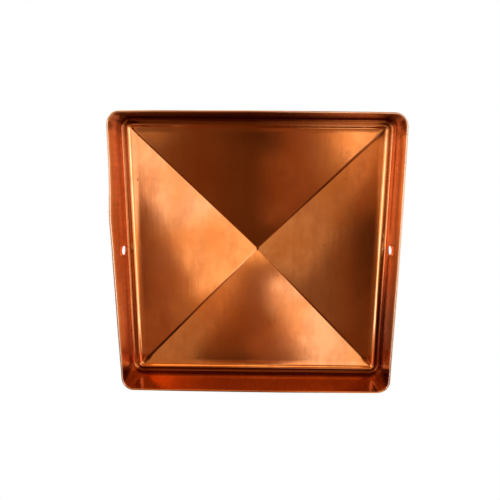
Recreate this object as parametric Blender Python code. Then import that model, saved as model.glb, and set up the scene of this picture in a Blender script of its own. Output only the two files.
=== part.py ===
"""Pyramid cap for a square wooden fence post, drawn from one sheet of copper.

Metres, +Z up. The origin is the centre of the open rim, so the cap stands on z = 0 with its
point up. The sheet is seamed nowhere: skirt, ledge, step and pyramid are one drawn skin of
even thickness, and the only openings in it are the two screw holes.
"""
import math

import bmesh
import bpy
from mathutils import Vector

# Driving dimensions
SHEET = 0.00055           # thickness of the copper
SKIRT_WIDTH = 0.09525     # outside, over the flat sides (3 3/4 in)
SKIRT_DEPTH = 0.0139      # inside, from the rim up to the ledge
SKIRT_CORNER = 0.0044     # outside radius of the four upright corners
FOLD_WIDTH = 0.0889       # inside, between the middles of two opposite steps (3 1/2 in)
STEP_RISE = 0.0007        # the low step between the ledge and the pyramid
STEP_RUN = 0.0007
PYRAMID_RISE = 0.0098     # inside, from the ledge to where the four faces would meet
APEX_FLAT = 0.0009        # half width of the blunt tip
BEND_RADIUS = 0.0008      # inside radius where the skirt turns into the ledge
FOLD_RADIUS = 0.0009      # inside radius where the ledge turns into the step
STEP_RADIUS = 0.0015      # inside radius where the step turns into the pyramid
FOLD_CORNER = 0.0011      # plan radius at the corners of the step
APEX_CORNER = 0.0005      # plan radius of the four hips at the tip
HOLE_DIAMETER = 0.0036    # screw holes, one in each of two opposite sides
HOLE_HEIGHT = 0.0092      # their centres above the rim
HOLE_OFFSET = -0.0017     # their centres off the middle of the side, along Y

# Fineness
CORNER_STEPS = 8
BEND_STEPS = 4
HOLE_SIDES = 24


def clear_scene():
    for old in list(bpy.data.objects):
        bpy.data.objects.remove(old, do_unlink=True)


def copper():
    """Bright rolled copper, a little warmer than brass."""
    material = bpy.data.materials.new("copper")
    material.use_nodes = True
    shader = material.node_tree.nodes["Principled BSDF"]
    shader.inputs["Base Color"].default_value = (0.92, 0.40, 0.19, 1.0)
    shader.inputs["Metallic"].default_value = 1.0
    shader.inputs["Roughness"].default_value = 0.28
    return material


def fillet(before, corner, after, radius):
    """Points of the arc that rounds a corner of the section; each point is (half width, z)."""
    to_before = (before - corner).normalized()
    to_after = (after - corner).normalized()
    opening = to_before.angle(to_after)
    start = corner + to_before * radius / math.tan(opening / 2)
    middle = corner + (to_before + to_after).normalized() * radius / math.sin(opening / 2)
    first = start - middle
    turn = math.pi - opening
    side = 1 if first.x * to_before.y - first.y * to_before.x < 0 else -1
    points = []
    for step in range(BEND_STEPS + 1):
        angle = side * turn * step / BEND_STEPS
        x = first.x * math.cos(angle) - first.y * math.sin(angle)
        y = first.x * math.sin(angle) + first.y * math.cos(angle)
        points.append(middle + Vector((x, y)))
    return points


def inside_section():
    """Half section of the inner surface, rim to tip, as (half width, corner radius, z)."""
    wall = SKIRT_WIDTH / 2 - SHEET
    fold = FOLD_WIDTH / 2
    rim = Vector((wall, 0.0))
    bend = Vector((wall, SKIRT_DEPTH))
    ledge = Vector((fold + STEP_RUN / 2, SKIRT_DEPTH))
    step = Vector((fold - STEP_RUN / 2, SKIRT_DEPTH + STEP_RISE))
    apex = Vector((0.0, SKIRT_DEPTH + PYRAMID_RISE))
    tip = step.lerp(apex, 1 - APEX_FLAT / step.x)

    outline = [rim]
    outline += fillet(rim, bend, ledge, BEND_RADIUS)
    outline += fillet(bend, ledge, step, FOLD_RADIUS)
    outline += fillet(ledge, step, apex, STEP_RADIUS)
    outline.append(tip)

    wall_corner = SKIRT_CORNER - SHEET
    section = []
    for point in outline:
        if point.x > fold:
            share = (point.x - fold) / (wall - fold)
            corner = FOLD_CORNER + (wall_corner - FOLD_CORNER) * share
        else:
            share = (point.x - APEX_FLAT) / (fold - APEX_FLAT)
            corner = APEX_CORNER + (FOLD_CORNER - APEX_CORNER) * share
        section.append((point.x, corner, point.y))
    return section


def offset_section(section, distance):
    """The same section moved outwards by the sheet's thickness, square to itself."""
    moved = []
    last = len(section) - 1
    for index, (half, corner, height) in enumerate(section):
        before = section[max(index - 1, 0)]
        after = section[min(index + 1, last)]
        directions = []
        for start, end in ((before, section[index]), (section[index], after)):
            run = end[0] - start[0]
            climb = end[2] - start[2]
            length = math.hypot(run, climb)
            if length > 0:
                directions.append((climb / length, -run / length))
        across = sum(direction[0] for direction in directions)
        up = sum(direction[1] for direction in directions)
        size = math.hypot(across, up)
        reach = distance * 2 / size if len(directions) == 2 else distance
        shift = across / size * reach
        moved.append((half + shift, corner + shift, height + up / size * reach))
    return moved


def ring_of_verts(mesh, half, corner, height):
    """A square with rounded corners, counter-clockwise seen from above."""
    ring = []
    for quarter in range(4):
        start = math.radians(90) * quarter
        centre_turn = start + math.radians(45)
        reach = (half - corner) * math.sqrt(2)
        centre_x = reach * math.cos(centre_turn)
        centre_y = reach * math.sin(centre_turn)
        for step in range(CORNER_STEPS + 1):
            turn = start + math.radians(90) * step / CORNER_STEPS
            x = centre_x + corner * math.cos(turn)
            y = centre_y + corner * math.sin(turn)
            ring.append(mesh.verts.new((x, y, height)))
    return ring


def join_rings(mesh, lower, upper):
    """Quads between two rings; the faces look away from the axis when upper is higher."""
    count = len(lower)
    for index in range(count):
        following = (index + 1) % count
        mesh.faces.new((lower[index], lower[following], upper[following], upper[index]))


def drawn_skin():
    """One closed body: down the inner surface, round the rim, and up the outer one."""
    inner = inside_section()
    outer = offset_section(inner, SHEET)
    mesh = bmesh.new()
    rings = [ring_of_verts(mesh, *row) for row in reversed(inner)]
    rings += [ring_of_verts(mesh, *row) for row in outer]
    for lower, upper in zip(rings, rings[1:]):
        join_rings(mesh, lower, upper)
    mesh.faces.new(list(reversed(rings[0])))
    mesh.faces.new(rings[-1])
    bmesh.ops.recalc_face_normals(mesh, faces=mesh.faces[:])
    return mesh


def mesh_object(name, mesh, material=None):
    data = bpy.data.meshes.new(name)
    mesh.to_mesh(data)
    mesh.free()
    thing = bpy.data.objects.new(name, data)
    bpy.context.scene.collection.objects.link(thing)
    if material:
        data.materials.append(material)
    return thing


def hole_punch():
    """A round bar along X, long enough to pierce both sides of the skirt."""
    mesh = bmesh.new()
    bmesh.ops.create_cone(mesh, cap_ends=True, segments=HOLE_SIDES, radius1=HOLE_DIAMETER / 2,
                          radius2=HOLE_DIAMETER / 2, depth=SKIRT_WIDTH * 1.2)
    punch = mesh_object("hole_punch", mesh)
    punch.rotation_euler = (0.0, math.radians(90), 0.0)
    punch.location = (0.0, HOLE_OFFSET, HOLE_HEIGHT)
    punch.hide_render = True
    punch.display_type = 'WIRE'
    return punch


def cap_shell():
    shell = mesh_object("cap_shell", drawn_skin(), copper())
    shell.data.shade_smooth()
    shell.data.set_sharp_from_angle(angle=math.radians(35))
    pierce = shell.modifiers.new("screw_holes", 'BOOLEAN')
    pierce.operation = 'DIFFERENCE'
    pierce.solver = 'EXACT'
    pierce.object = hole_punch()
    return shell


clear_scene()
cap_shell()
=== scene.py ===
"""The look of a copper fence post cap: a fine skin of the drawn sheet, in place of the CAD's mesh.

Metres, in the CAD's frame: the rim stands on z = 0 and the point is up. The camera looks up into
the open side. The floor is pale from above and clear from below, so that both sides can be seen.
"""
import math

import bpy
from mathutils import Matrix, Vector, noise


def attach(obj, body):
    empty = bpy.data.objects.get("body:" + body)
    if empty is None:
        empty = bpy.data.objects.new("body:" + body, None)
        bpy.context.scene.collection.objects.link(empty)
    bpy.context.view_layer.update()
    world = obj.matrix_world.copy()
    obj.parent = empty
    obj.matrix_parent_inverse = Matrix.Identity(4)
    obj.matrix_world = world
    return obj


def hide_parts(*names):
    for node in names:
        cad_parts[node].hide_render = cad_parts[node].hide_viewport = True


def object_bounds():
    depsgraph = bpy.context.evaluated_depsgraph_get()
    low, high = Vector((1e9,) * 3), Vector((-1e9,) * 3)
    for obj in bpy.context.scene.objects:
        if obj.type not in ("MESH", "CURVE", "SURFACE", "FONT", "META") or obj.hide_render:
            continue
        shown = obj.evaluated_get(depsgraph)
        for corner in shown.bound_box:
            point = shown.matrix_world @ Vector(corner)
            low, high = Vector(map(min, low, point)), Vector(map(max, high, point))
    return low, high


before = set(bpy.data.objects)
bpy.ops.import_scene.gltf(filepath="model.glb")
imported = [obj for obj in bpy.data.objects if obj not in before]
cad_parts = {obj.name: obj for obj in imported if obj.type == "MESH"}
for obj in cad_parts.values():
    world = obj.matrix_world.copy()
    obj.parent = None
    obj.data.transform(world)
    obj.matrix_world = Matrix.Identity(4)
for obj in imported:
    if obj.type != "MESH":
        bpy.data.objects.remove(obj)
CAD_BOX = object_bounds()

MM = 0.001

# The sheet, as in the CAD model
SHEET = 0.55 * MM
SKIRT_DEPTH = 13.9 * MM
SKIRT_CORNER = 4.4 * MM
STEP_RISE = 0.7 * MM
STEP_RUN = 0.7 * MM
PYRAMID_RISE = 9.8 * MM
FOLD_RADIUS = 0.9 * MM
FOLD_CORNER = 1.1 * MM
APEX_BLUNT = 0.9 * MM
HOLE_RADIUS = 1.8 * MM
HOLE_HEIGHT = 9.2 * MM
HOLE_OFFSET = -1.7 * MM
HALF_WIDTH = CAD_BOX[1].x

# The sheet, where this skin differs a little from the CAD model
FOLD_WIDTH = 89.4 * MM
BEND_RADIUS = 1.0 * MM
STEP_RADIUS = 1.1 * MM
APEX_CORNER = 0.6 * MM
EDGE_BREAK = 0.3 * MM          # how far the corners of the cut edge are broken

# The soft shoulder between the step and the face of the pyramid
SHOULDER_RUN = 1.3 * MM
SHOULDER_RISE = 0.335 * MM
SHOULDER_RADIUS = 28.0 * MM

# The four hips differ a little: how wide each is, and how deep the dimple at its lower end.
# They go round from the +X +Y corner, counter-clockwise from above.
HIP_WIDTHS = (0.8, 0.9, 0.45, 0.9)
HIP_DIMPLES = (1.3 * MM, 0.9 * MM, 0.0, 0.6 * MM)
DIMPLE_PLACE = 1.9 * MM
DIMPLE_SPREAD = 1.2 * MM

# How the pressed sheet isn't perfect
PYRAMID_SHIFT = (0.20 * MM, 0.25 * MM)      # struck a touch off the middle of the skirt
BOW_X = 0.34 * MM                           # how far the -X and +X sides bow out at the rim
BOW_Y = 0.30 * MM                           # the same for the other two
KNOCK_DEPTH = 0.35 * MM
KNOCK_PLACE = -14 * MM                      # along the -X side
SLOW_WAVE = 0.075 * MM
QUICK_WAVE = 0.014 * MM
EDGE_WANDER = 0.09 * MM
HOLE_SLIPS = {-1: (0.4 * MM, 0.0), 1: (-0.6 * MM, -0.8 * MM)}   # of each hole, along Y and up
HOLE_PUSH = 0.32 * MM                       # inwards, round each hole, of the inner surface
HOLE_THINNING = 0.25 * MM                   # how much further the outer surface is pushed
HOLE_SQUEEZE = 0.12                         # narrower along Y
HOLE_STRETCH = 0.14                         # taller
# a painted dark spot of shade in the dimple at the +X -Y hip
DIMPLE_SHADE_PLACE = (43.4 * MM, -42.6 * MM)
DIMPLE_SHADE_SIZE = 1.5 * MM

# Where the camera stands and how it is turned, in degrees about X, Y and Z
CAMERA_PLACE = (2.79 * MM, -30.47 * MM, -135.9 * MM)
CAMERA_TURN = (168.857, -0.642, -0.399)

# The middle of the room's darkest spot, almost straight below the cap
DARK_SPOT = (0.0, 0.156, -0.988)

# Fineness of the skin
CORNER_STEPS = 14
BEND_STEPS = 8
SIDE_STEP = 1.6 * MM
FACE_STEPS = 34
BEND_MARGIN = 0.12 * MM        # from a bend to the first row beside it
ROWS_BELOW_PATCH = 8
PATCH_HALF = 3.0 * MM          # half width of the square of columns and rows round a hole
PATCH_CELLS = 12
PATCH_RINGS = 9

# The finish of a point with no darker wall colour, no pale cut edge and no other painted shade
PLAIN_AND_UNPAINTED = (0.0, 0.0, 0.0, 1.0)

# Colours of the copper
BRIGHT = (0.965, 0.440, 0.180)
DEEP = (0.88, 0.345, 0.110)
DULL = (0.78, 0.31, 0.12)
SPECK = (0.22, 0.085, 0.03)
# the darker, redder drawn wall: a painted shade, with real pull streaks in it
DRAWN_WALL_AND_PAINTED_SHADE = (0.46, 0.130, 0.034)
# painted shade inside: darker by side, in the corners, at a bend and in one dimple
PAINTED_SHADE_COLOUR = (0.16, 0.032, 0.006)
# the cut edge's pale colour: a painted highlight
CUT_EDGE_HIGHLIGHT = (1.0, 0.83, 0.65)

# From the cap to the lamps
LAMP_DISTANCE = 0.8

# The floor round the cap
FLOOR_INSET = 0.01 * MM
FLOOR_DROP = 0.02 * MM
FLOOR_REACH = 1.3


# ---------------------------------------------------------------- section of the sheet

def smooth_bump(value, width):
    """1 at 0, falling off smoothly to both sides."""
    return math.exp(-(value / width) ** 2)


def ramp(value, low, high):
    """0 at low, 1 at high, and clamped outside them."""
    return min(1.0, max(0.0, (value - low) / (high - low)))


def fillet(before, corner, after, radius):
    """Points of the arc that rounds a corner of the section; each point is (half width, z)."""
    to_before = (before - corner).normalized()
    to_after = (after - corner).normalized()
    opening = to_before.angle(to_after)
    start = corner + to_before * radius / math.tan(opening / 2)
    middle = corner + (to_before + to_after).normalized() * radius / math.sin(opening / 2)
    first = start - middle
    turn = math.pi - opening
    side = 1 if first.x * to_before.y - first.y * to_before.x < 0 else -1
    points = []
    for step in range(BEND_STEPS + 1):
        angle = side * turn * step / BEND_STEPS
        x = first.x * math.cos(angle) - first.y * math.sin(angle)
        y = first.x * math.sin(angle) + first.y * math.cos(angle)
        points.append(middle + Vector((x, y)))
    return points


def between(start, end, spacing):
    """Points along a straight of the section; those at its ends hold the bends beside them."""
    length = (end - start).length
    count = max(1, round((length - 2 * BEND_MARGIN) / spacing))
    first = BEND_MARGIN / length
    shares = [first + (1 - 2 * BEND_MARGIN / length) * k / count for k in range(count + 1)]
    return [start.lerp(end, share) for share in shares]


def wall_rows():
    """Heights of the wall's rows; the rows of the hole's square patch are among them."""
    bend_start = SKIRT_DEPTH - BEND_RADIUS
    low, high = HOLE_HEIGHT - PATCH_HALF, HOLE_HEIGHT + PATCH_HALF
    rows = []
    for k in range(ROWS_BELOW_PATCH):
        rows.append(EDGE_BREAK + (low - EDGE_BREAK) * (k / ROWS_BELOW_PATCH) ** 1.5)
    rows += [low + (high - low) * k / PATCH_CELLS for k in range(PATCH_CELLS)]
    rows += [high + (bend_start - BEND_MARGIN - high) * k / 2 for k in range(3)]
    return rows


def inside_section():
    """Half section of the inner surface from just above the rim to the tip: (half width, z)."""
    wall = HALF_WIDTH - SHEET
    fold = FOLD_WIDTH / 2
    rim = Vector((wall, 0.0))
    bend = Vector((wall, SKIRT_DEPTH))
    ledge = Vector((fold + STEP_RUN / 2, SKIRT_DEPTH))
    step = Vector((fold - STEP_RUN / 2, SKIRT_DEPTH + STEP_RISE))
    shoulder = step + Vector((-SHOULDER_RUN, SHOULDER_RISE))
    apex = Vector((0.0, SKIRT_DEPTH + PYRAMID_RISE))
    tip = shoulder.lerp(apex, 1 - APEX_BLUNT / shoulder.x)

    first_arc = fillet(rim, bend, ledge, BEND_RADIUS)
    second_arc = fillet(bend, ledge, step, FOLD_RADIUS)
    third_arc = fillet(ledge, step, shoulder, STEP_RADIUS)
    fourth_arc = fillet(step, shoulder, apex, SHOULDER_RADIUS)
    outline = [Vector((wall, z)) for z in wall_rows()]
    outline += first_arc
    outline += between(first_arc[-1], second_arc[0], 0.4 * MM)
    outline += second_arc
    outline += third_arc
    outline += between(third_arc[-1], fourth_arc[0], 0.4 * MM)
    outline += fourth_arc
    outline += between(fourth_arc[-1], tip, (tip - shoulder).length / FACE_STEPS)
    outline.append(tip)
    # a shallow dome closes the blunt tip
    drop = APEX_BLUNT * math.tan(math.atan2(apex.y - shoulder.y, shoulder.x)) / 2
    for share in (0.75, 0.5, 0.25, 0.08):
        outline.append(Vector((tip.x * share, tip.y + drop * (1 - share * share))))
    return outline


def plan_corners(half):
    """Plan radii of the four corners at a half width: wide on the skirt, tight on the hips.

    Each hip ends in a small dimple just inside the step, where its radius widens.
    """
    wall = HALF_WIDTH - SHEET
    fold = FOLD_WIDTH / 2
    if half > fold:
        share = (half - fold) / (wall - fold)
        return [FOLD_CORNER + (SKIRT_CORNER - SHEET - FOLD_CORNER) * share] * 4
    share = max(0.0, (half - APEX_BLUNT) / (fold - APEX_BLUNT))
    own = min(1.0, (fold - half) / (1.2 * MM))
    radii = []
    for width, dimple in zip(HIP_WIDTHS, HIP_DIMPLES):
        radius = APEX_CORNER + (FOLD_CORNER - APEX_CORNER) * share
        radius *= 1 + (width - 1) * own
        radius += dimple * smooth_bump(fold - half - DIMPLE_PLACE, DIMPLE_SPREAD)
        radii.append(min(radius, half * 0.7))
    return radii


def offset(points, distance):
    """The section moved outwards, square to itself."""
    moved = []
    for index, point in enumerate(points):
        before = points[max(index - 1, 0)]
        after = points[min(index + 1, len(points) - 1)]
        run = (point - before).normalized() + (after - point).normalized()
        normal = Vector((run.y, -run.x)).normalized()
        half_turn = (after - before).normalized().angle((after - point).normalized(), 0.0)
        moved.append(point + normal * distance / max(0.7, math.cos(half_turn)))
    return moved


# ---------------------------------------------------------------- the skin's mesh

def side_shares(straight):
    """Places of the columns along a side, from -1 to 1, and how many come before the patch."""
    low = (HOLE_OFFSET - PATCH_HALF) / straight
    high = (HOLE_OFFSET + PATCH_HALF) / straight
    before = max(2, round((low + 1) * straight / SIDE_STEP))
    after = max(2, round((1 - high) * straight / SIDE_STEP))
    shares = [-1 + (low + 1) * k / before for k in range(before)]
    shares += [low + (high - low) * k / PATCH_CELLS for k in range(PATCH_CELLS)]
    shares += [high + (1 - high) * k / after for k in range(after + 1)]
    return shares, before


def outline_ring(half, corners, height, sides):
    """A square with round corners, counter-clockwise from above, starting on the +X side.

    corners are its four plan radii, the +X +Y corner first.
    """
    points = []
    for quarter in range(4):
        turn = math.radians(90) * quarter
        along = Vector((-math.sin(turn), math.cos(turn), 0))
        out = Vector((math.cos(turn), math.sin(turn), 0))
        corner, corner_before = corners[quarter], corners[quarter - 1]
        for share in sides[quarter]:
            straight = half - (corner if share > 0 else corner_before)
            points.append(out * half + along * share * straight)
        centre = (out + along) * (half - corner)
        for step in range(1, CORNER_STEPS):
            angle = math.radians(90) * step / CORNER_STEPS
            points.append(centre + (out * math.cos(angle) + along * math.sin(angle)) * corner)
    return [Vector((point.x, point.y, height)) for point in points]


class Skin:
    """Rows and columns of points on one surface of the sheet, with a round hole in two sides.

    grow is how far this surface lies outside the inner one.
    """

    def __init__(self, vertices, faces, section, grow, sides, first_columns, flip):
        self.vertices = vertices
        self.faces = faces
        self.flip = flip
        self.rows = []
        for point in section:
            corners = [radius + grow for radius in plan_corners(point.x - grow)]
            ring = outline_ring(point.x, corners, point.y, sides)
            start = len(vertices)
            vertices.extend(ring)
            self.rows.append(list(range(start, start + len(ring))))
        self.columns = len(self.rows[0])
        self.holes = []
        side_length = self.columns // 4
        patches = []
        for quarter in (0, 2):
            column = quarter * side_length + first_columns[quarter]
            patches.append((ROWS_BELOW_PATCH, column))
        self.add_quads(patches)
        for row, column in patches:
            self.add_patch(row, column)

    def add_face(self, *corners):
        self.faces.append(tuple(reversed(corners)) if self.flip else corners)

    def add_quads(self, patches):
        for row in range(len(self.rows) - 1):
            for column in range(self.columns):
                inside = any(
                    first_row <= row < first_row + PATCH_CELLS
                    and first_column <= column < first_column + PATCH_CELLS
                    for first_row, first_column in patches)
                if inside:
                    continue
                after = (column + 1) % self.columns
                self.add_face(self.rows[row][column], self.rows[row][after],
                              self.rows[row + 1][after], self.rows[row + 1][column])

    def add_patch(self, row, column):
        """Rings of quads from the square gap in the grid down to the round hole."""
        cells = PATCH_CELLS
        edge = [(row, column + k) for k in range(cells)]
        edge += [(row + k, column + cells) for k in range(cells)]
        edge += [(row + cells, column + cells - k) for k in range(cells)]
        edge += [(row + cells - k, column) for k in range(cells)]
        outer = [self.rows[r][c] for r, c in edge]
        x = self.vertices[outer[0]].x
        middle = Vector((x, HOLE_OFFSET, HOLE_HEIGHT))
        rim = []
        for index in outer:
            reach = self.vertices[index] - middle
            rim.append(middle + reach.normalized() * HOLE_RADIUS)
        square = [self.vertices[index].copy() for index in outer]
        previous = outer
        for ring in range(1, PATCH_RINGS + 1):
            share = 1 - (1 - ring / PATCH_RINGS) ** 1.6
            start = len(self.vertices)
            self.vertices.extend(a.lerp(b, share) for a, b in zip(square, rim))
            current = list(range(start, start + len(rim)))
            for k in range(len(rim)):
                after = (k + 1) % len(rim)
                self.add_face(previous[k], previous[after], current[after], current[k])
            previous = current
        self.holes.append(previous)


def four_sides():
    """The columns of all four sides, and where the patches start on the two with holes."""
    shares, first_column = side_shares(HALF_WIDTH - SKIRT_CORNER)
    mirrored = [-share for share in reversed(shares)]
    last_column = len(shares) - 1 - first_column - PATCH_CELLS
    return [shares, shares, mirrored, shares], {0: first_column, 2: last_column}


def build_skin():
    """Both surfaces of the sheet, the cut edge between them and the walls of the holes.

    The finish colour says for each point how much of the wall's darker colour it takes, a painted
    shade with real pull streaks; how much of the pale cut edge, a painted highlight; and how much
    painted shade.
    """
    sides, first_columns = four_sides()
    vertices, faces = [], []
    section = inside_section()
    inner = Skin(vertices, faces, section, 0.0, sides, first_columns, True)
    finish_and_painted_light = [inside_finish_and_painted_light(point) for point in vertices]
    outer = Skin(vertices, faces, offset(section, SHEET), SHEET, sides, first_columns, False)
    finish_and_painted_light += [PLAIN_AND_UNPAINTED] * (len(vertices) - len(finish_and_painted_light))

    # caps at the tip
    for skin in (inner, outer):
        skin.add_face(*skin.rows[-1])

    # the cut edge of the sheet, with its corners just broken: each pair is the share of the
    # thickness across from the inner surface, and the share of the break up from the rim's plane
    breaks = ((0.02, 0.62), (0.08, 0.30), (0.18, 0.08), (0.32, 0.0),
              (0.68, 0.0), (0.90, 0.03), (0.965, 0.12), (0.995, 0.35))
    previous = inner.rows[0]
    wall = HALF_WIDTH - SHEET
    for across, up in breaks:
        half = wall + SHEET * across
        corner = SKIRT_CORNER - SHEET + SHEET * across
        ring = outline_ring(half, [corner] * 4, EDGE_BREAK * up, sides)
        start = len(vertices)
        vertices.extend(ring)
        current = list(range(start, start + len(ring)))
        join(faces, previous, current)
        previous = current
    join(faces, previous, outer.rows[0])
    finish_and_painted_light += [edge_painted_highlight(point) for point in vertices[len(finish_and_painted_light):]]

    # the walls of the holes
    for inner_rim, outer_rim in zip(inner.holes, outer.holes):
        join(faces, outer_rim, inner_rim)
    return vertices, faces, finish_and_painted_light


def toward_x(point):
    """1 on the -X and +X sides of the skirt, 0 on the other two, between the two at the corners."""
    across, along = point.x ** 2, point.y ** 2
    share = across / (across + along)
    return min(1.0, max(0.0, (share - 0.42) / 0.16))


def painted_edge_highlight(point):
    """The painted highlight on the cut edge, for how the lamps fall on it: most on the -X and +X
    sides, least on the +Y side.
    """
    aside = toward_x(point)
    return aside + (1 - aside) * (0.15 if point.y > 0 else 0.5)


def edge_painted_highlight(point):
    """The finish colour of the cut edge: its pale colour, a painted highlight."""
    return (0.0, painted_edge_highlight(point), 0.0, 1.0)


def inside_finish_and_painted_light(point):
    """The inside: the wall's darker drawn colour from the step out, a painted shade with real pull
    streaks; painted shade and painted bright patches that differ side by side; and the cut edge's
    painted highlight a little way up the wall.
    """
    far, near = sorted((abs(point.x), abs(point.y)), reverse=True)
    past_step = far - FOLD_WIDTH / 2 - STEP_RUN / 2
    # the wall's darker drawn colour from the step out: a painted shade, with real pull streaks
    wall_drawn_and_shade = ramp(past_step, 0.0, 0.4 * MM)
    if point.y > abs(point.x):
        # painted shade: the +Y side is darker all over, but for a painted bright patch at its -X
        # end; a little lighter towards +X, and darkest at the bend
        painted_shade = 0.8 - 0.8 * ramp(-point.x, 28 * MM, 36 * MM)
        painted_shade -= 0.25 * ramp(point.x, 5 * MM, 20 * MM)
        bend_shade = ramp(point.z, SKIRT_DEPTH - 1.8 * MM, SKIRT_DEPTH - 0.8 * MM)
        painted_shade = max(painted_shade, 1.2 * bend_shade)
    elif point.y < -abs(point.x):
        # painted shade: the -Y side is darkest, and brighter towards +X
        below_bend = ramp(SKIRT_DEPTH - 0.25 * MM - point.z, 0.0, 0.5 * MM)
        toward_bright = ramp(point.x, 12 * MM, 36 * MM)
        painted_shade = 1.25 - 0.17 * below_bend - (0.7 + 0.38 * below_bend) * toward_bright
    elif point.x > 0:
        # painted light and shade: the +X side is brightest at its -Y end, where less of the wall's
        # darker colour is painted, and darker towards +Y
        wall_drawn_and_shade *= 0.5 + 0.5 * ramp(point.y, -4 * MM, 20 * MM)
        painted_shade = 1.1 * ramp(point.y, 3 * MM, 24 * MM)
    else:
        # the -X side has the least painted shade: less of the wall's darker colour by the bend, a
        # painted highlight there, and a little painted shade low down
        wall_drawn_and_shade *= 1 - 0.22 * ramp(point.z, SKIRT_DEPTH - 1 * MM, SKIRT_DEPTH - 0.2 * MM)
        painted_shade = 0.12 * ramp(9 * MM - point.z, 0.0, 4 * MM)

    # painted shade in the upright corners, least in the -X +Y one
    corner = ramp(near, HALF_WIDTH - 7 * MM, HALF_WIDTH - 2.5 * MM)
    if point.y > 0 > point.x:
        corner *= 0.45
    painted_shade = wall_drawn_and_shade * max(painted_shade, corner)
    # painted shade in the dimple at the +X -Y hip
    dimple_shade = 1.2 * smooth_bump((point.xy - Vector(DIMPLE_SHADE_PLACE)).length, DIMPLE_SHADE_SIZE)

    # the cut edge's painted highlight spreads a little way up the wall, further on the -X and +X
    # sides
    edge = 0.72 * smooth_bump(point.z, (0.35 + 0.95 * toward_x(point)) * MM) * painted_edge_highlight(point)
    return (wall_drawn_and_shade, edge, max(painted_shade, dimple_shade), 1.0)


def join(faces, lower, upper):
    """Quads between two closed loops of points."""
    count = len(lower)
    for index in range(count):
        after = (index + 1) % count
        faces.append((lower[index], lower[after], upper[after], upper[index]))


# ---------------------------------------------------------------- faults of the pressed sheet

def pressed(point):
    """Moves a point of the perfect shape to where the pressed sheet really is."""
    x, y, z = point
    moved = point.copy()
    skirt_run = HALF_WIDTH - FOLD_WIDTH / 2 + 1.0 * MM
    out_x = min(1.0, max(0.0, (abs(x) - FOLD_WIDTH / 2 + 1.0 * MM) / skirt_run))
    out_y = min(1.0, max(0.0, (abs(y) - FOLD_WIDTH / 2 + 1.0 * MM) / skirt_run))
    below = max(0.0, 1 - z / SKIRT_DEPTH)

    # the sides of the skirt bow out a little between the corners, most at the rim
    bow_x = BOW_X * max(0.0, 1 - (y / HALF_WIDTH) ** 2)
    bow_y = BOW_Y * max(0.0, 1 - (x / HALF_WIDTH) ** 2)
    moved.x += math.copysign(bow_x * out_x * below, x)
    moved.y += math.copysign(bow_y * out_y * below, y)

    # the -X side is straighter towards its ends, and has one knock in its rim
    if x < 0:
        straight = 0.42 * ramp(-y, 14 * MM, 32 * MM) + 0.32 * ramp(y, 2 * MM, 36 * MM)
        moved.x += straight * MM * below * out_x
        moved.x -= KNOCK_DEPTH * smooth_bump(y - KNOCK_PLACE, 7 * MM) * below ** 2 * out_x

    # the pyramid is a touch off centre
    far = max(abs(x), abs(y))
    inwards = min(1.0, max(0.0, (HALF_WIDTH - 0.8 * MM - far) / (1.5 * MM)))
    moved.x += PYRAMID_SHIFT[0] * inwards
    moved.y += PYRAMID_SHIFT[1] * inwards

    # its faces are not quite flat
    face = min(1.0, max(0.0, FOLD_WIDTH / 2 - 1.5 * MM - far) / (8 * MM))
    slow = noise.noise(Vector((x, y, 0.0)) / (26 * MM))
    quick = noise.noise(Vector((x + 0.3, y, 0.1)) / (9 * MM))
    moved.z += face * (SLOW_WAVE * slow + QUICK_WAVE * quick)

    # the rim and the fold wander a little along their length
    wander = noise.noise(Vector((x, y, 0.5)) / (17 * MM))
    moved.x += EDGE_WANDER * wander * out_x * (x / HALF_WIDTH)
    moved.y += EDGE_WANDER * wander * out_y * (y / HALF_WIDTH)

    # round the punched holes the metal is pushed inwards and thinned, and the holes aren't quite
    # round or in line
    if abs(x) > HALF_WIDTH - 2 * MM:
        reach = math.hypot(y - HOLE_OFFSET, z - HOLE_HEIGHT)
        past = max(0.0, reach - HOLE_RADIUS)
        outer_side = ramp(abs(x), HALF_WIDTH - 0.45 * MM, HALF_WIDTH - 0.1 * MM)
        push = HOLE_PUSH + HOLE_THINNING * outer_side
        moved.x -= math.copysign(push * smooth_bump(past, 0.75 * MM), x)
        moved.y -= HOLE_SQUEEZE * (y - HOLE_OFFSET) * smooth_bump(past, 1.6 * MM)
        moved.z += HOLE_STRETCH * (z - HOLE_HEIGHT) * smooth_bump(past, 1.6 * MM)
        slip = HOLE_SLIPS[1 if x > 0 else -1]
        near = smooth_bump(past, 3.2 * MM) * ramp(z, 0.3 * MM, 3.0 * MM)
        moved.y += slip[0] * near
        moved.z += slip[1] * near
    return moved


def make_shell():
    """The skin as one object, with its finish and its painted light and shade as a colour on each
    point.
    """
    vertices, faces, finish_and_painted_light = build_skin()
    mesh = bpy.data.meshes.new("cap_skin")
    mesh.from_pydata([pressed(point) for point in vertices], [], faces)
    layer = mesh.color_attributes.new("finish_and_painted_light", 'FLOAT_COLOR', 'POINT')
    layer.data.foreach_set("color", [value for colour in finish_and_painted_light for value in colour])
    mesh.update()
    mesh.shade_smooth()
    mesh.set_sharp_from_angle(angle=math.radians(42))
    shell = bpy.data.objects.new("cap_skin", mesh)
    bpy.context.scene.collection.objects.link(shell)
    return shell


# ---------------------------------------------------------------- copper

def node(tree, kind, **settings):
    """A new node with the settings given."""
    made = tree.nodes.new(kind)
    for name, value in settings.items():
        setattr(made, name, value)
    return made


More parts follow.
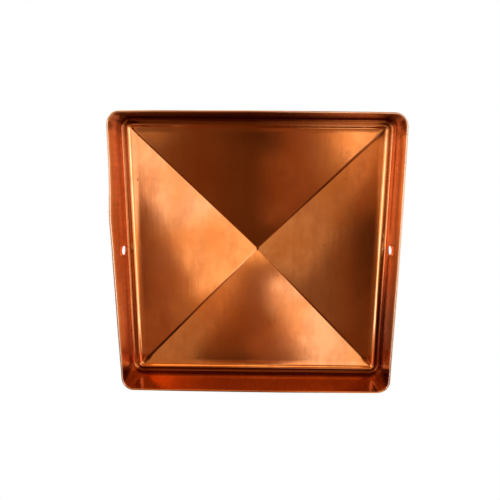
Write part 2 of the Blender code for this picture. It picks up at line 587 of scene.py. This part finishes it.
def stretched_noise(tree, place, stretch, scale, detail=3.0, roughness=0.55):
    """Noise over the object's own coordinates, in metres, with stretch as a factor on each axis."""
    mapping = node(tree, "ShaderNodeMapping")
    mapping.inputs["Scale"].default_value = stretch
    tree.links.new(place, mapping.inputs["Vector"])
    texture = node(tree, "ShaderNodeTexNoise")
    texture.inputs["Scale"].default_value = scale
    texture.inputs["Detail"].default_value = detail
    texture.inputs["Roughness"].default_value = roughness
    tree.links.new(mapping.outputs["Vector"], texture.inputs["Vector"])
    return texture.outputs["Fac"]


def spread(tree, value, low, high, to_low, to_high):
    """Maps a value from one range to another, clamped."""
    change = node(tree, "ShaderNodeMapRange")
    change.inputs["From Min"].default_value = low
    change.inputs["From Max"].default_value = high
    change.inputs["To Min"].default_value = to_low
    change.inputs["To Max"].default_value = to_high
    tree.links.new(value, change.inputs["Value"])
    return change.outputs["Result"]


def maths(tree, operation, first, second):
    """A Math node; first is a socket, second a socket or a number."""
    made = node(tree, "ShaderNodeMath", operation=operation)
    tree.links.new(first, made.inputs[0])
    if isinstance(second, (int, float)):
        made.inputs[1].default_value = second
    else:
        tree.links.new(second, made.inputs[1])
    return made.outputs["Value"]


def blend_colour(tree, share, first, second):
    """Mixes from first to second by the socket share; each is a socket or a colour."""
    mix = node(tree, "ShaderNodeMix", data_type='RGBA')
    tree.links.new(share, mix.inputs[0])
    for socket, colour in ((mix.inputs[6], first), (mix.inputs[7], second)):
        if isinstance(colour, tuple):
            socket.default_value = (*colour, 1)
        else:
            tree.links.new(colour, socket)
    return mix.outputs[2]


def copper_material():
    """Bright rolled copper, cloudy where it was handled; darker and redder on the drawn wall, a
    painted shade with real pull streaks in it; painted shade inside, and a pale cut edge that is a
    painted highlight.
    """
    material = bpy.data.materials.new("copper_sheet")
    material.use_nodes = True
    tree = material.node_tree
    shader = tree.nodes["Principled BSDF"]
    shader.inputs["Metallic"].default_value = 1.0
    place = node(tree, "ShaderNodeTexCoord").outputs["Object"]
    finish_and_painted_light = node(tree, "ShaderNodeAttribute", attribute_name="finish_and_painted_light")
    parts = node(tree, "ShaderNodeSeparateColor")
    tree.links.new(finish_and_painted_light.outputs["Color"], parts.inputs["Color"])
    drawn_and_painted_shade, edge, painted_shade = parts.outputs["Red"], parts.outputs["Green"], parts.outputs["Blue"]

    cloud = stretched_noise(tree, place, (1, 1, 1), 55, 4.0, 0.6)
    haze = stretched_noise(tree, place, (1, 0.35, 1), 170, 5.0, 0.65)
    grain = stretched_noise(tree, place, (1, 0.03, 1), 2600, 2.0)
    pull = stretched_noise(tree, place, (1, 1, 0.08), 1500, 3.0)
    speck = stretched_noise(tree, place, (1, 1, 1), 620, 1.0)

    # colour
    cloud_share = spread(tree, cloud, 0.42, 0.60, 0.0, 1.0)
    colour = blend_colour(tree, cloud_share, BRIGHT, DEEP)
    dull = spread(tree, haze, 0.48, 0.68, 0.0, 0.75)
    colour = blend_colour(tree, dull, colour, DULL)
    dirt = spread(tree, speck, 0.77, 0.82, 0.0, 0.55)
    colour = blend_colour(tree, dirt, colour, SPECK)
    streaks = spread(tree, pull, 0.35, 0.7, 0.75, 1.0)
    # the drawn wall's darker, redder colour: painted shade, streaked by real pull marks
    colour = blend_colour(tree, maths(tree, 'MULTIPLY', drawn_and_painted_shade, streaks), colour, DRAWN_WALL_AND_PAINTED_SHADE)
    # painted shade inside, with painted bright patches where less is painted
    colour = blend_colour(tree, maths(tree, 'MULTIPLY', painted_shade, 0.72), colour, PAINTED_SHADE_COLOUR)
    # the cut edge's pale colour, a painted highlight, strongest on the -X and +X sides
    colour = blend_colour(tree, edge, colour, CUT_EDGE_HIGHLIGHT)
    tree.links.new(colour, shader.inputs["Base Color"])

    # gloss
    rough = spread(tree, haze, 0.3, 0.75, 0.085, 0.145)
    rough = maths(tree, 'ADD', rough, spread(tree, cloud, 0.4, 0.7, 0.0, 0.03))
    rough = maths(tree, 'ADD', rough, spread(tree, dirt, 0.0, 1.0, 0.0, 0.25))
    rough = maths(tree, 'ADD', rough, maths(tree, 'MULTIPLY', drawn_and_painted_shade, 0.08))
    rough = maths(tree, 'ADD', rough, maths(tree, 'MULTIPLY', edge, 0.12))
    tree.links.new(rough, shader.inputs["Roughness"])

    # fine relief: rolling grain on the faces, pull marks on the drawn wall
    relief = maths(tree, 'MULTIPLY', grain, 0.35)
    relief = maths(tree, 'ADD', relief, maths(tree, 'MULTIPLY', pull, drawn_and_painted_shade))
    relief = maths(tree, 'ADD', relief, maths(tree, 'MULTIPLY', haze, 0.8))
    bump = node(tree, "ShaderNodeBump")
    bump.inputs["Strength"].default_value = 0.25
    bump.inputs["Distance"].default_value = 0.04 * MM
    tree.links.new(relief, bump.inputs["Height"])
    tree.links.new(bump.outputs["Normal"], shader.inputs["Normal"])
    return material


# ---------------------------------------------------------------- stage, lights and camera

def make_floor(sides):
    """A pale sheet with an opening under the cap: clear from below, so that the camera sees in."""
    corners = [SKIRT_CORNER - FLOOR_INSET] * 4
    opening = outline_ring(HALF_WIDTH - FLOOR_INSET, corners, 0.0, sides)
    inner = [pressed(point) for point in opening]
    outer = [point * (FLOOR_REACH / HALF_WIDTH) for point in inner]
    vertices = inner + outer
    faces = []
    join(faces, range(len(inner)), range(len(inner), len(vertices)))
    mesh = bpy.data.meshes.new("floor")
    mesh.from_pydata(vertices, [], [tuple(reversed(face)) for face in faces])
    floor = bpy.data.objects.new("floor", mesh)
    floor.location.z = -FLOOR_DROP
    bpy.context.scene.collection.objects.link(floor)
    material = bpy.data.materials.new("floor_paper")
    material.use_nodes = True
    tree = material.node_tree
    paper = tree.nodes["Principled BSDF"]
    paper.inputs["Base Color"].default_value = (0.86, 0.86, 0.85, 1.0)
    paper.inputs["Roughness"].default_value = 0.9
    clear = node(tree, "ShaderNodeBsdfTransparent")
    side_seen = node(tree, "ShaderNodeNewGeometry")
    mix = node(tree, "ShaderNodeMixShader")
    tree.links.new(side_seen.outputs["Backfacing"], mix.inputs["Fac"])
    tree.links.new(paper.outputs["BSDF"], mix.inputs[1])
    tree.links.new(clear.outputs["BSDF"], mix.inputs[2])
    tree.links.new(mix.outputs["Shader"], tree.nodes["Material Output"].inputs["Surface"])
    mesh.materials.append(material)


def softbox(name, angles, size, brightness, colour, roll=0.0, above=False):
    """An area light aimed at the cap, placed and sized by angle as the cap sees it.

    angles are degrees off straight down (or up, when above): towards +X, towards +Y.
    size is its width and height in degrees; brightness is the radiance of its face.
    """
    lamp = bpy.data.lights.new(name, 'AREA')
    lamp.shape = 'RECTANGLE'
    lamp.size = 2 * LAMP_DISTANCE * math.tan(math.radians(size[0] / 2))
    lamp.size_y = 2 * LAMP_DISTANCE * math.tan(math.radians(size[1] / 2))
    lamp.energy = brightness * math.pi * lamp.size * lamp.size_y
    lamp.color = colour
    light = bpy.data.objects.new(name, lamp)
    across, along = (math.radians(angle) for angle in angles)
    height = math.cos(along) * math.cos(across)
    outwards = Vector((math.sin(across), math.sin(along) * math.cos(across),
                       height if above else -height))
    sideways = Vector((0.0, 1.0, 0.0)).cross(outwards).normalized()
    upwards = outwards.cross(sideways)
    facing = Matrix((sideways, upwards, outwards)).transposed()
    facing = Matrix.Rotation(math.radians(roll), 3, outwards) @ facing
    light.matrix_world = Matrix.LocRotScale(outwards * LAMP_DISTANCE, facing, None)
    light.visible_camera = False
    bpy.context.scene.collection.objects.link(light)


def make_lights():
    """Under the cap a bright +X side, a dimmer -X side and a dark middle; over it three boxes.

    right is +X, left is -X, back is +Y and top is -Y, as the camera sees them from below.
    """
    warm = (1.0, 0.93, 0.80)
    cool = (0.80, 0.79, 1.0)
    softbox("under_right_near", (15.0, 3.0), (18, 30), 0.94, (1.0, 0.76, 0.52), roll=24)
    softbox("under_right_glow", (10.0, -1.5), (11.5, 17), 0.75, (0.24, 0.46, 0.82), roll=24)
    softbox("under_right_low", (13.5, 23.0), (10, 12), 0.17, (1.0, 0.60, 0.34), roll=20)
    softbox("under_right_strip", (4.5, 9.5), (8, 18), 0.17, (1.0, 0.40, 0.20), roll=24)
    softbox("under_right_back", (4.0, 25.0), (8, 12), 0.15, (1.0, 0.42, 0.20))
    softbox("under_middle", (-1.5, -4.0), (17, 16), 0.13, (1.0, 0.36, 0.10), roll=10)
    softbox("under_right_mid", (38.0, 4.0), (24, 52), 0.62, warm)
    softbox("under_right_far", (73.0, 0.0), (26, 60), 2.3, cool)
    softbox("under_back_line", (16.0, 52.0), (18, 16), 1.2, (1.0, 0.88, 0.70))
    softbox("under_left_near", (-15.2, -0.5), (14, 32), 0.275, (1.0, 0.69, 0.40), roll=-29)
    softbox("under_left_glow", (-7.5, -6.0), (9, 10), 0.10, (1.0, 0.62, 0.36), roll=-20)
    softbox("under_left_mid", (-33.0, -10.0), (18, 34), 1.2, (1.0, 0.86, 0.60))
    softbox("under_left_far", (-74.0, 0.0), (24, 66), 2.4, cool)
    softbox("under_top", (-0.5, -15.0), (9, 9), 1.0, (1.0, 0.75, 0.42))
    softbox("under_top_far", (0.0, -65.0), (90, 16), 0.88, (1.0, 0.76, 0.48))
    softbox("under_top_left", (-19.0, -50.0), (12, 18), 0.9, (1.0, 0.42, 0.12))
    white = (1.0, 0.98, 0.95)
    softbox("key", (-36, -40), (38, 38), 2.0, (1.0, 0.97, 0.92), above=True)
    softbox("fill", (60, -20), (26, 36), 1.2, white, above=True)
    softbox("back", (5, 55), (60, 24), 1.05, white, above=True)


def ramp_node(tree, stops):
    """A colour ramp from (position, colour) pairs."""
    made = node(tree, "ShaderNodeValToRGB")
    elements = made.color_ramp.elements
    while len(elements) < len(stops):
        elements.new(0.5)
    for element, (position, colour) in zip(elements, stops):
        element.position = position
        element.color = (*colour, 1)
    return made


def make_world():
    """White to the camera; to the copper a room: dark below, paler to the sides and pale above."""
    world = bpy.data.worlds.new("studio")
    bpy.context.scene.world = world
    world.use_nodes = True
    tree = world.node_tree
    tree.nodes.clear()
    place = node(tree, "ShaderNodeTexCoord")
    split = node(tree, "ShaderNodeSeparateXYZ")
    tree.links.new(place.outputs["Generated"], split.inputs["Vector"])
    aside = node(tree, "ShaderNodeMath", operation='ABSOLUTE')
    tree.links.new(split.outputs["X"], aside.inputs[0])
    below = ramp_node(tree, [
        (0.00, (0.085, 0.030, 0.008)), (0.17, (0.165, 0.060, 0.020)),
        (0.40, (0.30, 0.20, 0.13)), (0.85, (0.50, 0.42, 0.36))])
    tree.links.new(aside.outputs["Value"], below.inputs["Fac"])
    table = spread(tree, split.outputs["Y"], -0.25, -0.60, 0.0, 1.0)
    below_colour = blend_colour(tree, table, below.outputs["Color"], (0.42, 0.19, 0.045))

    # the room's darkest spot
    middle = node(tree, "ShaderNodeVectorMath", operation='DOT_PRODUCT')
    tree.links.new(place.outputs["Generated"], middle.inputs[0])
    middle.inputs[1].default_value = DARK_SPOT
    in_spot = spread(tree, middle.outputs["Value"], math.cos(math.radians(12)),
                     math.cos(math.radians(6)), 0.0, 0.85)
    below_colour = blend_colour(tree, in_spot, below_colour, (0.01, 0.005, 0.002))

    # the upper half, greyer overhead, and the change from one half to the other
    height = node(tree, "ShaderNodeMapRange", interpolation_type='SMOOTHSTEP')
    height.inputs["From Min"].default_value = -0.12
    height.inputs["From Max"].default_value = 0.12
    tree.links.new(split.outputs["Z"], height.inputs["Value"])
    room_colour = node(tree, "ShaderNodeMix", data_type='RGBA')
    tree.links.new(height.outputs["Result"], room_colour.inputs["Factor"])
    tree.links.new(below_colour, room_colour.inputs[6])
    above = ramp_node(tree, [
        (0.0, (0.84, 0.83, 0.82)), (0.5, (0.72, 0.71, 0.70)), (1.0, (0.42, 0.42, 0.43))])
    tree.links.new(split.outputs["Z"], above.inputs["Fac"])
    tree.links.new(above.outputs["Color"], room_colour.inputs[7])

    # what the copper sees, and the plain white that the camera sees
    room = node(tree, "ShaderNodeBackground")
    tree.links.new(room_colour.outputs[2], room.inputs["Color"])
    white = node(tree, "ShaderNodeBackground")
    white.inputs["Color"].default_value = (1, 1, 1, 1)
    path = node(tree, "ShaderNodeLightPath")
    mix = node(tree, "ShaderNodeMixShader")
    tree.links.new(path.outputs["Is Camera Ray"], mix.inputs["Fac"])
    tree.links.new(room.outputs["Background"], mix.inputs[1])
    tree.links.new(white.outputs["Background"], mix.inputs[2])
    out = node(tree, "ShaderNodeOutputWorld")
    tree.links.new(mix.outputs["Shader"], out.inputs["Surface"])


def make_camera():
    """Under the cap and a little to the -Y side, looking up into it."""
    data = bpy.data.cameras.new("camera")
    data.lens = 30.08
    data.sensor_width = 36.0
    data.shift_x = -0.0199
    data.clip_start = 0.005
    camera = bpy.data.objects.new("camera", data)
    camera.location = CAMERA_PLACE
    camera.rotation_euler = [math.radians(angle) for angle in CAMERA_TURN]
    bpy.context.scene.collection.objects.link(camera)
    bpy.context.scene.camera = camera


def main():
    make_camera()
    shell = make_shell()
    shell.data.materials.append(copper_material())
    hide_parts("cap_shell")
    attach(shell, "root")
    make_floor(four_sides()[0])
    make_lights()
    make_world()
    bpy.context.scene.view_settings.view_transform = 'Standard'


main()
